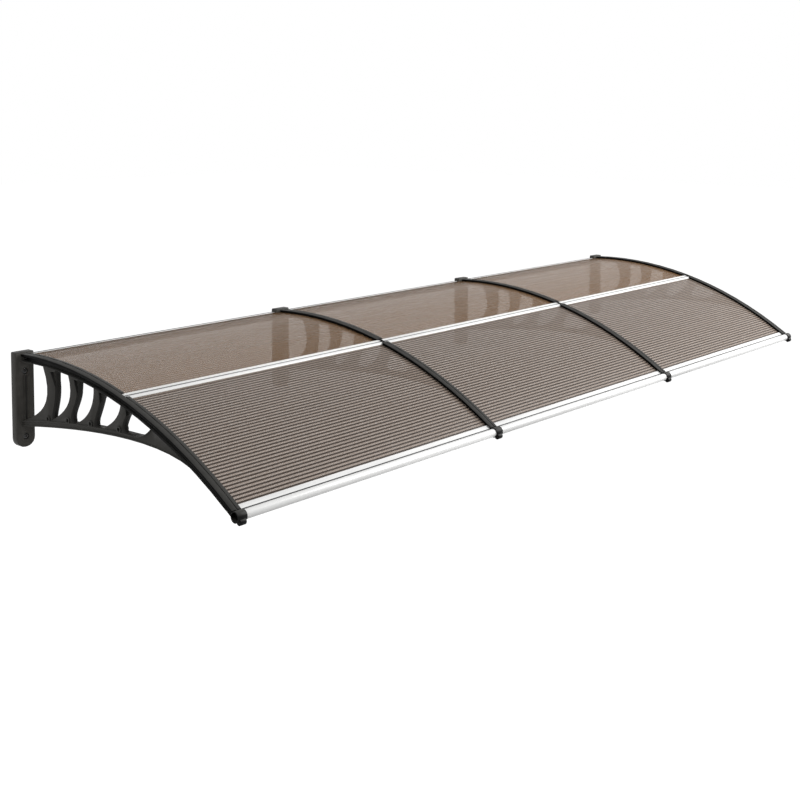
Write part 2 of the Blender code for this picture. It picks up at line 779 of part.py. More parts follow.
def front_bar(name):
    """The bar along the front edge: a hollow round nose, a plate over the sheets' ends and one under them."""
    reach, seat = -FRONT_BAR_REACH, -NOSE_RADIUS * 0.75
    top, foot = BAR_OVER_SHEET + FRONT_BAR_PLATE, BAR_UNDER_SHEET - BAR_WALL
    upper = (
        (reach, top - FRONT_BAR_PLATE / 2),
        (reach, BAR_OVER_SHEET),
        (seat, BAR_OVER_SHEET),
        (seat, top),
        (reach + FRONT_BAR_PLATE, top),
    )
    lower = ((reach, BAR_UNDER_SHEET), (seat, BAR_UNDER_SHEET), (seat, foot), (reach, foot))
    body = bar(name, [hook_point(*place) for place in circle((0, 0), NOSE_RADIUS, ROUND_SIDES)], BAR_END_X)
    for plate in (upper, lower):
        outline = [on_arch(angle_ahead(NOSE_ANGLE, forward), n) for forward, n in plate]
        join(body, [bar("plate", outline, BAR_END_X)])
    bore = [hook_point(*place) for place in circle((0, 0), NOSE_RADIUS - BAR_WALL, 16)]
    cut(body, [bar("bore", bore, -BAR_END_X)])
    return body


def rear_bar(name):
    """The bar on the wall between two plates: a back leg, a lip over the rear sheet and a plate under it."""
    sheet_under = on_arch(arch_angle(SHEET_REAR_S), -SHEET_DROP - SHEET_THICKNESS)[1] - CLEARANCE
    lip_under = on_arch(arch_angle(REAR_BAR_LIP), -SHEET_DROP)[1] + CLEARANCE
    outline = [
        (0.0, REAR_BAR_TOP),
        (REAR_BAR_LIP, REAR_BAR_TOP),
        (REAR_BAR_LIP, lip_under),
        (BAR_WALL, lip_under),
        (BAR_WALL, sheet_under),
        (REAR_BAR_LIP, sheet_under),
        (REAR_BAR_LIP, sheet_under - BAR_WALL),
        (BAR_WALL, sheet_under - BAR_WALL),
        (BAR_WALL, REAR_BAR_TOP - REAR_BAR_HEIGHT),
        (0.0, REAR_BAR_TOP - REAR_BAR_HEIGHT),
    ]
    half = BAY / 2 - PLATE_WIDTH / 2 - CLEARANCE
    return extrude_along_x(name, [outline], -half, half)


# The screws


def wall_screw(name, drop):
    """A pan-head screw with a six-sided socket in its seat; its shank stops just inside the plate's back."""
    seat = PLATE_DEPTH - SCREW_SEAT_DEPTH + CLEARANCE
    crown = seat + SCREW_SEAT_DEPTH
    profile = [
        (0, 2 * CLEARANCE),
        (WALL_SCREW_SHANK, 2 * CLEARANCE),
        (WALL_SCREW_SHANK, seat),
        (WALL_SCREW_RADIUS, seat),
        (WALL_SCREW_RADIUS, seat + SCREW_SEAT_DEPTH * 0.4),
        (WALL_SCREW_RADIUS * 0.6, crown),
        (0, crown),
    ]
    screw = turned(name, profile, 0.0, -drop)
    floor = seat + SCREW_SEAT_DEPTH / 3
    socket = [(0, floor), (WALL_SCREW_SOCKET, floor), (WALL_SCREW_SOCKET, 2 * crown), (0, 2 * crown)]
    cut(screw, [turned("socket", socket, 0.0, -drop, 6)])
    return screw


def arm_screw(name, side):
    """A small round-head screw in the upper arm's web, on a side without sheets."""
    face = WEB_THICKNESS / 2 + CLEARANCE
    stations = (-WEB_THICKNESS / 2, face + ARM_SCREW_HEAD / 2, face + ARM_SCREW_HEAD)
    inside, middle, outside = (side * x for x in stations)
    place = arm_screw_place()
    shank = side_cylinder(place, ARM_SCREW_SHANK, *sorted((inside, middle)), 8)
    shank.name = name
    join(shank, [side_cylinder(place, ARM_SCREW_RADIUS, *sorted((side * face, outside)), 14)])
    return shank


# Materials


def material(name, colour, roughness, metallic=0.0, alpha=1.0):
    """A Principled material from an sRGB colour in 0 to 1."""
    linear = [((c + 0.055) / 1.055) ** 2.4 if c > 0.04045 else c / 12.92 for c in colour]
    made = bpy.data.materials.new(name)
    made.use_nodes = True
    made.diffuse_color = (*linear, alpha)
    shader = made.node_tree.nodes["Principled BSDF"]
    shader.inputs["Base Color"].default_value = (*linear, 1.0)
    shader.inputs["Roughness"].default_value = roughness
    shader.inputs["Metallic"].default_value = metallic
    shader.inputs["Alpha"].default_value = alpha
    return made


def main():
    for item in list(bpy.data.objects):
        bpy.data.objects.remove(item)

    black_plastic = material("black_plastic", (0.17, 0.17, 0.165), 0.5)
    strip_plastic = material("strip_plastic", (0.24, 0.24, 0.235), 0.55)
    polycarbonate = material("polycarbonate", (0.52, 0.46, 0.42), 0.12, alpha=0.6)
    aluminium = material("aluminium", (0.90, 0.90, 0.89), 0.35, metallic=0.9)
    screw_steel = material("screw_steel", (0.14, 0.14, 0.14), 0.45, metallic=0.3)

    canopy = bpy.data.objects.new("canopy", None)
    canopy.location = (0, 0, PLATE_TOP_Z)
    bpy.context.scene.collection.objects.link(canopy)

    def place(solid, x, look):
        solid.parent = canopy
        solid.location = (x, 0, 0)
        solid.data.materials.clear()
        solid.data.materials.append(look)
        solid.data.shade_smooth()
        solid.data.set_sharp_from_angle(angle=SMOOTH_ANGLE)

    for index, x in enumerate(BRACKET_X):
        number = index + 1
        sides = [side for side, has in ((-1, index > 0), (1, index < BAYS)) if has]
        place(bracket(f"bracket_{number}", sides), x, black_plastic)
        for side in (-1, 1):
            for strip in cover_strips(number, side, side in sides):
                place(strip, x, strip_plastic)
            if side not in sides:
                place(arm_screw(f"arm_screw_{number}", side), x, screw_steel)
        for height, drop in zip(("upper", "lower"), WALL_SCREW_DROPS):
            place(wall_screw(f"wall_screw_{height}_{number}", drop), x, screw_steel)

    for index in range(BAYS):
        number = index + 1
        x = BRACKET_X[index] + BAY / 2
        place(rear_sheet(f"roof_sheet_rear_{number}"), x, polycarbonate)
        place(front_sheet(f"roof_sheet_front_{number}"), x, polycarbonate)
        place(mid_bar(f"mid_bar_{number}"), x, aluminium)
        place(front_bar(f"front_bar_{number}"), x, aluminium)
        place(rear_bar(f"rear_bar_{number}"), x, aluminium)


main()
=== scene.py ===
"""The looks of a door canopy: clear brown sheets in pale bars on four black moulded brackets.

The file is laid out as a Blender add-on and is run as a script. The packed model is the frame.
X runs along the wall, Y points into the wall and Z up. The brackets, strips and bars are copies of
the frame's solids with rounded edges, the sheets and the wall screws are made by Geometry Nodes,
and everything gets its finish here.
"""

import json
import math
from collections import namedtuple

import bmesh
import bpy
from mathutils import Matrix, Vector

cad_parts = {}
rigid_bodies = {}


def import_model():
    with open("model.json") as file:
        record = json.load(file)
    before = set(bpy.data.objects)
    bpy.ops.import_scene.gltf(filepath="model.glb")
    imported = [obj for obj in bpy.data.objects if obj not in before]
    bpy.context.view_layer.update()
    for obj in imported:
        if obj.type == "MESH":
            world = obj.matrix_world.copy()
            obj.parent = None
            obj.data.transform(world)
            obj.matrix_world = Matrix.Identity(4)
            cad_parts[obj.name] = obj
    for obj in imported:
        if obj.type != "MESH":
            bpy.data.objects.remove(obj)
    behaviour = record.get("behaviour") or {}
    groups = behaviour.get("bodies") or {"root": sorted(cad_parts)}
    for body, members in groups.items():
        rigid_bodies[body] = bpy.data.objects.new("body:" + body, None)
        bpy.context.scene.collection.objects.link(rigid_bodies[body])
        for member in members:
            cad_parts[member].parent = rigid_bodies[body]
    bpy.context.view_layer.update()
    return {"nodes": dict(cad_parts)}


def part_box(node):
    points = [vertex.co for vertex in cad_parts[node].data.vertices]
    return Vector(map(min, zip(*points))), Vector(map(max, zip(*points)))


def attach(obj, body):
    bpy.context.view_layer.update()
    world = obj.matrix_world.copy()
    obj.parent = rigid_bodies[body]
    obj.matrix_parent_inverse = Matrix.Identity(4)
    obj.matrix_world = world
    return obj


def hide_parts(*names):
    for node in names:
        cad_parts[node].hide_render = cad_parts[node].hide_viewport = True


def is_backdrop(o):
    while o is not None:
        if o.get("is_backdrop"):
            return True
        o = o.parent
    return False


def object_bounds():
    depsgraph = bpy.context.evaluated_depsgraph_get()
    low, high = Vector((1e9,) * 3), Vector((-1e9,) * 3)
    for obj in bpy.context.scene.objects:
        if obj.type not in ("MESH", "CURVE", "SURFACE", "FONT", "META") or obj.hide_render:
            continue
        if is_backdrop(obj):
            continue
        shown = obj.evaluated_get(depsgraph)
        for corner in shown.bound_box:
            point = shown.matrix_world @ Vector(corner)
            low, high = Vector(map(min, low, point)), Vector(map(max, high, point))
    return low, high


for item in list(bpy.data.objects):
    bpy.data.objects.remove(item)

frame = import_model()

bl_info = {
    "name": "Door Canopy Looks",
    "version": (1, 0, 0),
    "blender": (4, 5, 0),
    "location": "3D View > Sidebar > Canopy",
    "description": "Sheets, brackets, bars and screws of a door canopy with their finishes and a studio",
    "category": "Object",
}

BODY = "root"


def nodes_named(start):
    """The frame's node names that begin with a word, in order."""
    return sorted(name for name in frame["nodes"] if name.startswith(start))


# Settings that a user would change


class CanopySheetSettings(bpy.types.PropertyGroup):
    """Sizes and colours of the twin-wall sheets."""

    arch_radius: bpy.props.FloatProperty(
        name="Arch Radius",
        description="Radius of the sheets' upper face",
        default=1.5009,
        unit="LENGTH",
    )
    arch_reach: bpy.props.FloatProperty(
        name="Arch Reach",
        description="Distance of the arch's highest line from the wall",
        default=0.1147,
        unit="LENGTH",
    )
    arch_top: bpy.props.FloatProperty(
        name="Arch Top",
        description="Height of the sheets' upper face at the highest line",
        default=0.01675,
        unit="LENGTH",
    )
    thickness: bpy.props.FloatProperty(
        name="Thickness", description="Thickness of a sheet", default=0.005, unit="LENGTH"
    )
    skin: bpy.props.FloatProperty(
        name="Skin",
        description="Thickness of each of a sheet's two skins",
        default=0.0007,
        unit="LENGTH",
    )
    rib: bpy.props.FloatProperty(
        name="Rib", description="Thickness of a rib between the skins", default=0.0007, unit="LENGTH"
    )
    cell: bpy.props.FloatProperty(
        name="Cell", description="Distance between two ribs", default=0.0114, unit="LENGTH"
    )
    plate_room: bpy.props.FloatProperty(
        name="Plate Room",
        description="Width cut off each rear corner for a wall plate",
        default=0.0248,
        unit="LENGTH",
    )
    plate_depth: bpy.props.FloatProperty(
        name="Plate Depth",
        description="Distance from the wall to the front of that cut",
        default=0.0243,
        unit="LENGTH",
    )
    light: bpy.props.FloatVectorProperty(
        name="Light Flute",
        description="Colour of a front sheet between its ribs",
        default=(0.44, 0.35, 0.287),
        subtype="COLOR",
    )
    dark: bpy.props.FloatVectorProperty(
        name="Dark Flute",
        description="Colour of a sheet over its ribs",
        default=(0.05, 0.036, 0.028),
        subtype="COLOR",
    )
    cover: bpy.props.FloatProperty(
        name="Cover",
        description="How much each face of a front sheet's skins hides",
        default=0.46,
        subtype="FACTOR",
    )
    # Painted light: the rear sheets are the same plastic as the front ones, with their own cover, colour and
    # weaker lines for the light they catch
    rear_lit_cover: bpy.props.FloatProperty(
        name="Rear Cover",
        description="How much each face of a rear sheet's skins hides",
        default=0.38,
        subtype="FACTOR",
    )
    rear_lit_flute: bpy.props.FloatVectorProperty(
        name="Rear Light Flute",
        description="Colour of a rear sheet between its ribs",
        default=(0.31, 0.178, 0.087),
        subtype="COLOR",
    )
    rear_lit_line: bpy.props.FloatProperty(
        name="Rear Line",
        description="Strength of the rear sheets' lines against the front ones",
        default=0.5,
        subtype="FACTOR",
    )
    # Painted light: by the wall a sheet keeps less cover, so it shows lighter there
    wall_lit_cover: bpy.props.FloatProperty(
        name="Wall Cover",
        description="Share of its cover that a sheet keeps by the wall",
        default=0.5,
        subtype="FACTOR",
    )
    wall_lit_reach: bpy.props.FloatProperty(
        name="Wall Reach",
        description="Distance from the wall at which a sheet has its full cover",
        default=0.13,
        unit="LENGTH",
    )
    rib_cover: bpy.props.FloatProperty(
        name="Rib Cover",
        description="How much each face of the upper skin hides over a rib",
        default=0.88,
        subtype="FACTOR",
    )


class CanopyPlasticSettings(bpy.types.PropertyGroup):
    """Colours and edges of the moulded pieces."""

    bracket: bpy.props.FloatVectorProperty(
        name="Bracket",
        description="Colour of the brackets",
        default=(0.098, 0.094, 0.086),
        subtype="COLOR",
    )
    strut_side: bpy.props.FloatVectorProperty(
        name="Strut Side",
        description="Colour of the struts' and lower arms' sides",
        default=(0.074, 0.071, 0.065),
        subtype="COLOR",
    )
    # Painted shade: faces off the plate that look forward are painted this darker colour
    strut_front_shade: bpy.props.FloatVectorProperty(
        name="Strut Front",
        description="Colour of the struts' front sides",
        default=(0.035, 0.034, 0.032),
        subtype="COLOR",
    )
    # Painted shade: the upper arms get this near black for the shade in their recess under the cover strips;
    # the hooks, in the same band, get it too
    arm: bpy.props.FloatVectorProperty(
        name="Arm",
        description="Colour of the brackets' upper arms and hooks",
        default=(0.003, 0.003, 0.003),
        subtype="COLOR",
    )
    arm_radius: bpy.props.FloatProperty(
        name="Arm Radius",
        description="Radius of the upper arms' under edge",
        default=1.4870,
        unit="LENGTH",
    )
    # Painted shade: the strips' sides get this near black, against their tops painted paler
    strip_shade_side: bpy.props.FloatVectorProperty(
        name="Strip Side",
        description="Colour of the cover strips' sides",
        default=(0.004, 0.004, 0.004),
        subtype="COLOR",
    )
    # Painted light: faces that look up get this paler colour, which stands in for the light falling on the
    # tops
    lit_top: bpy.props.FloatVectorProperty(
        name="Weathered",
        description="Colour of faces that look up",
        default=(0.056, 0.055, 0.052),
        subtype="COLOR",
    )
    bracket_edge: bpy.props.FloatProperty(
        name="Bracket Edge",
        description="Width of the brackets' rounded edges",
        default=0.0010,
        unit="LENGTH",
    )
    strip_edge: bpy.props.FloatProperty(
        name="Strip Edge",
        description="Width of the strips' rounded edges",
        default=0.0005,
        unit="LENGTH",
    )


class CanopyMetalSettings(bpy.types.PropertyGroup):
    """Colours and sizes of the bars and screws."""

    bar: bpy.props.FloatVectorProperty(
        name="Bar", description="Colour of the bars", default=(0.93, 0.93, 0.92), subtype="COLOR"
    )
    # Painted shade: the middle bar's groove is painted this dark grey for the shade that falls in it
    groove_shade: bpy.props.FloatVectorProperty(
        name="Ridge Groove",
        description="Colour of the groove along a middle bar",
        default=(0.16, 0.16, 0.16),
        subtype="COLOR",
    )
    # Painted shade: this dark colour stands in for the shade in the front bar's crease behind its nose, and
    # on the rear bar's leg and top
    seam: bpy.props.FloatVectorProperty(
        name="Seam",
        description="Colour of the front bar's seam and the rear bar's seal",
        default=(0.03, 0.03, 0.03),
        subtype="COLOR",
    )
    nose_radius: bpy.props.FloatProperty(
        name="Nose Radius",
        description="Radius of the front bar's round nose",
        default=0.012,
        unit="LENGTH",
    )
    # Place of the painted shade in the crease between the front bar's nose and its plate
    crease_shade_forward: bpy.props.FloatProperty(
        name="Seam Forward",
        description="From the nose's centre back to its seam",
        default=0.0155,
        unit="LENGTH",
    )
    crease_shade_rise: bpy.props.FloatProperty(
        name="Seam Rise",
        description="From the nose's centre up to its seam",
        default=0.0012,
        unit="LENGTH",
    )
    crease_shade_width: bpy.props.FloatProperty(
        name="Seam Width", description="Half width of the seam", default=0.0021, unit="LENGTH"
    )
    groove_rise: bpy.props.FloatProperty(
        name="Groove Rise",
        description="Height of a middle bar's groove over the sheets",
        default=0.0025,
        unit="LENGTH",
    )
    groove_shade_reach: bpy.props.FloatProperty(
        name="Groove Reach",
        description="Half width of a middle bar's groove",
        default=0.0032,
        unit="LENGTH",
    )
    # Painted shade on the rear bar: a dark patch low on the front of its leg and a line along its top by the
    # wall
    leg_shade_inset: bpy.props.FloatProperty(
        name="Seal Inset",
        description="From the wall to the seal on the rear bar's leg",
        default=0.0013,
        unit="LENGTH",
    )
    leg_shade_height: bpy.props.FloatProperty(
        name="Seal Height",
        description="Height of the seal on the rear bar's leg",
        default=0.0170,
        unit="LENGTH",
    )
    top_shade_line: bpy.props.FloatProperty(
        name="Seal Line",
        description="Width of the seal along the rear bar's top",
        default=0.0115,
        unit="LENGTH",
    )
    bar_edge: bpy.props.FloatProperty(
        name="Bar Edge", description="Width of the bars' rounded edges", default=0.0003, unit="LENGTH"
    )
    screw: bpy.props.FloatVectorProperty(
        name="Screw", description="Colour of the screws", default=(0.030, 0.030, 0.030), subtype="COLOR"
    )
    head_height: bpy.props.FloatProperty(
        name="Head Height", description="Height of a wall screw's head", default=0.004, unit="LENGTH"
    )
    socket_radius: bpy.props.FloatProperty(
        name="Socket Radius",
        description="Radius of the socket in a wall screw's head",
        default=0.003,
        unit="LENGTH",
    )
    shank_radius: bpy.props.FloatProperty(
        name="Shank Radius", description="Radius of a wall screw's shank", default=0.003, unit="LENGTH"
    )


class CanopyStageSettings(bpy.types.PropertyGroup):
    """The camera, the floor and the lights."""

    lens: bpy.props.FloatProperty(
        name="Lens", description="Focal length in millimetres", default=54.753
    )
    camera_place: bpy.props.FloatVectorProperty(
        name="Camera Place",
        description="Where the camera stands",
        default=(-3.3476, -3.1268, 0.7318),
        subtype="TRANSLATION",
    )
    heading: bpy.props.FloatProperty(
        name="Heading",
        description="The camera's turn to the right",
        default=math.radians(48.10),
        subtype="ANGLE",
    )
    pitch: bpy.props.FloatProperty(
        name="Pitch", description="The camera's tilt down", default=math.radians(3.727), subtype="ANGLE"
    )
    shift: bpy.props.FloatProperty(
        name="Shift", description="Vertical shift of the picture", default=-0.27
    )
    floor_drop: bpy.props.FloatProperty(
        name="Floor Drop",
        description="Distance from the wall's fixing line down to the ground",
        default=2.4,
        unit="LENGTH",
    )
    floor_grey: bpy.props.FloatProperty(
        name="Floor Grey", description="How pale the floor itself is", default=0.38, subtype="FACTOR"
    )
    floor_glow: bpy.props.FloatProperty(
        name="Floor Glow",
        description="White that the floor adds to the camera and in reflections",
        default=0.89,
    )
    key_place: bpy.props.FloatVectorProperty(
        name="Key Place",
        description="The main lamp's place, from the canopy's centre",
        default=(3.9, -2.8, 3.0),
        subtype="TRANSLATION",
    )
    key_size: bpy.props.FloatProperty(
        name="Key Size", description="Side of the main lamp", default=4.5, unit="LENGTH"
    )
    key_power: bpy.props.FloatProperty(
        name="Key", description="Power of the main lamp", default=390.0, unit="POWER"
    )
    fill_place: bpy.props.FloatVectorProperty(
        name="Fill Place",
        description="The second lamp's place, from the canopy's centre",
        default=(-3.0, -3.0, 3.0),
        subtype="TRANSLATION",
    )
    fill_size: bpy.props.FloatProperty(
        name="Fill Size", description="Side of the second lamp", default=3.0, unit="LENGTH"
    )
    fill_power: bpy.props.FloatProperty(
        name="Fill", description="Power of the second lamp", default=25.0, unit="POWER"
    )
    sky: bpy.props.FloatProperty(
        name="Sky", description="Strength of the light from all round", default=0.40
    )


# Node helpers

# Most values of a noise lie between these two
NOISE_SPREAD = (0.3, 0.7)


def add_node(tree, kind, **settings):
    """A node of a kind, with its properties set by name."""
    node = tree.nodes.new(kind)
    for name, value in settings.items():
        setattr(node, name, value)
    return node


def math_node(tree, operation, *values):
    """A Math node whose inputs are numbers or sockets; returns its output."""
    node = add_node(tree, "ShaderNodeMath", operation=operation)
    for socket, value in zip(node.inputs, values):
        if isinstance(value, bpy.types.NodeSocket):
            tree.links.new(value, socket)
        else:
            socket.default_value = value
    return node.outputs[0]


def noise(tree, vector, scale, detail, roughness=0.5):
    """A noise texture's factor on a vector socket."""
    node = add_node(tree, "ShaderNodeTexNoise")
    node.inputs["Scale"].default_value = scale
    node.inputs["Detail"].default_value = detail
    node.inputs["Roughness"].default_value = roughness
    tree.links.new(vector, node.inputs["Vector"])
    return node.outputs["Fac"]


def stretched(tree, vector, scale):
    """A vector socket scaled along each axis, for patterns that run one way."""
    node = add_node(tree, "ShaderNodeMapping")
    node.inputs["Scale"].default_value = scale
    tree.links.new(vector, node.inputs["Vector"])
    return node.outputs["Vector"]


def ranged(tree, value, low, high, new_low, new_high):
    """A socket's values from low to high mapped to new ones, and held beyond."""
    node = add_node(tree, "ShaderNodeMapRange")
    for name, number in zip(("From Min", "From Max", "To Min", "To Max"), (low, high, new_low, new_high)):
        node.inputs[name].default_value = number
    tree.links.new(value, node.inputs["Value"])
    return node.outputs["Result"]


def mixed(tree, factor, first, second, blend="MIX"):
    """Two colours, each a triple or a socket, mixed by a factor socket."""
    node = add_node(tree, "ShaderNodeMix", data_type="RGBA", blend_type=blend)
    if isinstance(factor, bpy.types.NodeSocket):
        tree.links.new(factor, node.inputs[0])
    else:
        node.inputs[0].default_value = factor
    for socket, value in ((node.inputs[6], first), (node.inputs[7], second)):
        if isinstance(value, bpy.types.NodeSocket):
            tree.links.new(value, socket)
        else:
            socket.default_value = (*value, 1.0)
    return node.outputs[2]


def ramp(tree, value, *stops):
    """A colour ramp between two (position, grey) stops; returns its colour socket."""
    node = add_node(tree, "ShaderNodeValToRGB")
    for element, (position, grey) in zip(node.color_ramp.elements, stops):
        element.position = position
        element.color = (grey, grey, grey, 1.0)
    tree.links.new(value, node.inputs["Fac"])
    return node.outputs["Color"]


def tinted(tree, shader, colour, pattern, dark, light):
    """Set a shader's colour, times a grey that runs between two (position, grey) stops of a pattern."""
    shade = ramp(tree, pattern, dark, light)
    tree.links.new(mixed(tree, 1.0, colour, shade, "MULTIPLY"), shader.inputs["Base Color"])


def roughened(tree, shader, pattern, smooth, rough):
    """Set a shader's roughness from a pattern, between two values."""
    tree.links.new(ranged(tree, pattern, *NOISE_SPREAD, smooth, rough), shader.inputs["Roughness"])


def bumped(tree, shader, height, distance, strength):
    """Raise a shader's normal by a height socket."""
    node = add_node(tree, "ShaderNodeBump")
    node.inputs["Strength"].default_value = strength
    node.inputs["Distance"].default_value = distance
    tree.links.new(height, node.inputs["Height"])
    tree.links.new(node.outputs["Normal"], shader.inputs["Normal"])


def split(tree, vector):
    """A vector socket's X, Y and Z sockets, by their letters."""
    node = add_node(tree, "ShaderNodeSeparateXYZ")
    tree.links.new(vector, node.inputs[0])
    return node.outputs


def face_normal(tree):
    """The X, Y and Z sockets of the way that a face looks."""
    return split(tree, add_node(tree, "ShaderNodeNewGeometry").outputs["Normal"])


def new_material(name):
    """A material with node tree, its Principled shader and its Object coordinates socket."""
    material = bpy.data.materials.new(name)
    material.use_nodes = True
    tree = material.node_tree
    coordinates = add_node(tree, "ShaderNodeTexCoord")
    return material, tree, tree.nodes["Principled BSDF"], coordinates.outputs["Object"]


# Finishes

# Lowest and highest roughness, and the gloss, of a moulded plastic
Moulding = namedtuple("Moulding", "smooth rough gloss")
BRACKET_MOULDING = Moulding(0.36, 0.50, 0.08)
STRIP_MOULDING = Moulding(0.42, 0.55, 0.04)

# Between these parts of its normal a face starts to look up and is painted paler as painted light, or stops
# looking forward and loses the struts' painted shade
LOOKS_UP = (0.25, 0.85)
LOOKS_FORWARD = (-0.7, -0.3)
# Widths over which the arm's painted shade starts, up from its under edge and out from the plate
ARM_FADE = 0.002
PLATE_FADE = 0.004

# The dark line over a rib fades between these distances from the rib's middle, in cells
LINE_FADE = (0.19, 0.29)
# What a rib's own faces hide, as a share of what a skin hides
RIB_SHARE = 0.25
# Distance from the wall up to which a sheet has its clearest part, painted clear as painted light
LIT_CLEAR_REACH = 0.03
SHEET_ROUGHNESS = (0.22, 0.34)
SHEET_IOR = 1.58
SHEET_GLOSS = 0.10

# Width over which the colours of a mask run into each other, and the full part of a line
MASK_FADE = 0.0004
LINE_CORE = 0.8
BAR_ROUGHNESS = (0.30, 0.38)
BAR_METALLIC = 0.08
SCREW_ROUGHNESS = (0.30, 0.48)
SCREW_METALLIC = 0.4


def moulded_plastic(name, side, top, moulding):
    """Moulded plastic, painted greyer where it looks up as painted light on its tops, with a fine grain and a
    faint mottle.
    """
    material, tree, shader, place = new_material(name)
    painted_top = ranged(tree, face_normal(tree)["Z"], *LOOKS_UP, 0.0, 1.0)
    side = side(tree, place) if callable(side) else side
    mottle = noise(tree, place, scale=45.0, detail=4.0)
    # Painted light and shade: tops get the paler colour and the rest the side colour, by the way each face
    # looks
    tinted(tree, shader, mixed(tree, painted_top, side, top), mottle, (0.3, 0.80), (0.7, 1.0))
    roughened(tree, shader, mottle, moulding.smooth, moulding.rough)
    grain = noise(tree, place, scale=1500.0, detail=2.0)
    bumped(tree, shader, grain, distance=0.00004, strength=0.5)
    shader.inputs["Specular IOR Level"].default_value = moulding.gloss
    return material


def bracket_colours(settings, sheets):
    """The brackets' colours: near black along the upper arm and the hook as painted shade under the cover
    strips, dark struts with painted shade on faces that look forward, and a paler wall plate.
    """

    def colour(tree, place):
        axes = split(tree, place)
        across = add_node(tree, "ShaderNodeCombineXYZ")
        out = math_node(tree, "ADD", axes["Y"], sheets.arch_reach)
        up = math_node(tree, "ADD", axes["Z"], sheets.arch_radius - sheets.arch_top)
        tree.links.new(out, across.inputs["X"])
        tree.links.new(up, across.inputs["Y"])
        radius = add_node(tree, "ShaderNodeVectorMath", operation="LENGTH")
        tree.links.new(across.outputs[0], radius.inputs[0])
        under_edge, plate_front = settings.arm_radius, -sheets.plate_depth
        over_edge = ranged(tree, radius.outputs["Value"], under_edge, under_edge + ARM_FADE, 0.0, 1.0)
        off_plate = ranged(tree, axes["Y"], plate_front - PLATE_FADE, plate_front, 1.0, 0.0)
        forward = ranged(tree, face_normal(tree)["Y"], *LOOKS_FORWARD, 1.0, 0.0)
        # Painted shade: the arm's band is painted near black, standing in for the shade under the cover
        # strips
        in_arm_shade = math_node(tree, "MULTIPLY", over_edge, off_plate)
        # Painted shade: faces off the plate that look forward are painted darker
        strut_front_shade = math_node(tree, "MULTIPLY", forward, off_plate)
        side = mixed(tree, off_plate, settings.bracket, settings.strut_side)
        return mixed(tree, in_arm_shade, mixed(tree, strut_front_shade, side, settings.strut_front_shade), settings.arm)

    return colour


def sheet_plastic(name, settings, light, cover, strength):
    """Clear brown twin-wall plastic, faintly streaked, with a dark line over each rib and clearer between; it
    is painted clearer by the wall as painted light.
    """
    material, tree, shader, place = new_material(name)
    flute = add_node(tree, "ShaderNodeAttribute", attribute_name="flute").outputs["Fac"]
    upper = add_node(tree, "ShaderNodeAttribute", attribute_name="upper").outputs["Fac"]
    from_rib = math_node(tree, "PINGPONG", flute, 0.5)
    is_upper = math_node(tree, "MAXIMUM", upper, 0.0)
    line = math_node(tree, "MULTIPLY", ranged(tree, from_rib, *LINE_FADE, strength, 0.0), is_upper)
    streak = noise(tree, stretched(tree, place, (1.5, 260.0, 260.0)), scale=1.0, detail=3.0)
    tinted(tree, shader, mixed(tree, line, light, settings.dark), streak, (0.3, 0.88), (0.7, 1.0))
    roughened(tree, shader, streak, *SHEET_ROUGHNESS)
    shader.inputs["IOR"].default_value = SHEET_IOR
    shader.inputs["Specular IOR Level"].default_value = SHEET_GLOSS

    # Painted light: the sheet hides less by the wall and so looks lighter there
    depth = split(tree, place)["Y"]
    painted_by_wall = ranged(tree, depth, -settings.wall_lit_reach, -LIT_CLEAR_REACH, 1.0, settings.wall_lit_cover)
    over_rib = ranged(tree, line, 0.0, 1.0, cover, settings.rib_cover)
    in_skin = ranged(tree, upper, -1.0, 0.0, RIB_SHARE, 1.0)
    hidden = math_node(tree, "MULTIPLY", math_node(tree, "MULTIPLY", over_rib, painted_by_wall), in_skin)
    tree.links.new(hidden, shader.inputs["Alpha"])
    return material


def near_line(line, reach):
    """A mask for the places within a distance of a line along the wall, given by its Y and Z."""

    def mask(tree, axes):
        away = [math_node(tree, "SUBTRACT", axes[axis], value) for axis, value in zip("YZ", line)]
        squares = [math_node(tree, "MULTIPLY", value, value) for value in away]
        distance = math_node(tree, "SQRT", math_node(tree, "ADD", *squares))
        return ranged(tree, distance, reach * LINE_CORE, reach, 1.0, 0.0)

    return mask


def rear_shade_places(front, leg_shade_top, bar_top, line):
    """A mask for painted shade on a rear bar: low on the front of its leg, under its lip, and a line along
    its top by the wall.
    """

    def mask(tree, axes):
        y, z = axes["Y"], axes["Z"]
        in_front = ranged(tree, y, front, front + MASK_FADE, 1.0, 0.0)
        is_low = ranged(tree, z, leg_shade_top - MASK_FADE, leg_shade_top, 1.0, 0.0)
        painted_by_wall = ranged(tree, y, -line - MASK_FADE, -line, 0.0, 1.0)
        is_top = ranged(tree, z, bar_top - MASK_FADE, bar_top - MASK_FADE / 2, 0.0, 1.0)
        on_leg = math_node(tree, "MULTIPLY", in_front, is_low)
        on_top = math_node(tree, "MULTIPLY", painted_by_wall, is_top)
        return math_node(tree, "MAXIMUM", on_leg, on_top)

    return mask


def bar_metal(name, settings, shade_colour, mask):
    """Pale drawn aluminium, with fine lines along the bar and painted shade in another colour where a mask
    is.
    """
    material, tree, shader, place = new_material(name)
    colour = mixed(tree, mask(tree, split(tree, place)), settings.bar, shade_colour)
    cloud = noise(tree, place, scale=12.0, detail=2.0)
    lines = noise(tree, stretched(tree, place, (3.0, 900.0, 900.0)), scale=1.0, detail=3.0)
    tinted(tree, shader, colour, cloud, (0.3, 0.95), (0.7, 1.0))
    roughened(tree, shader, lines, *BAR_ROUGHNESS)
    bumped(tree, shader, lines, distance=0.00001, strength=0.2)
    shader.inputs["Metallic"].default_value = BAR_METALLIC
    return material


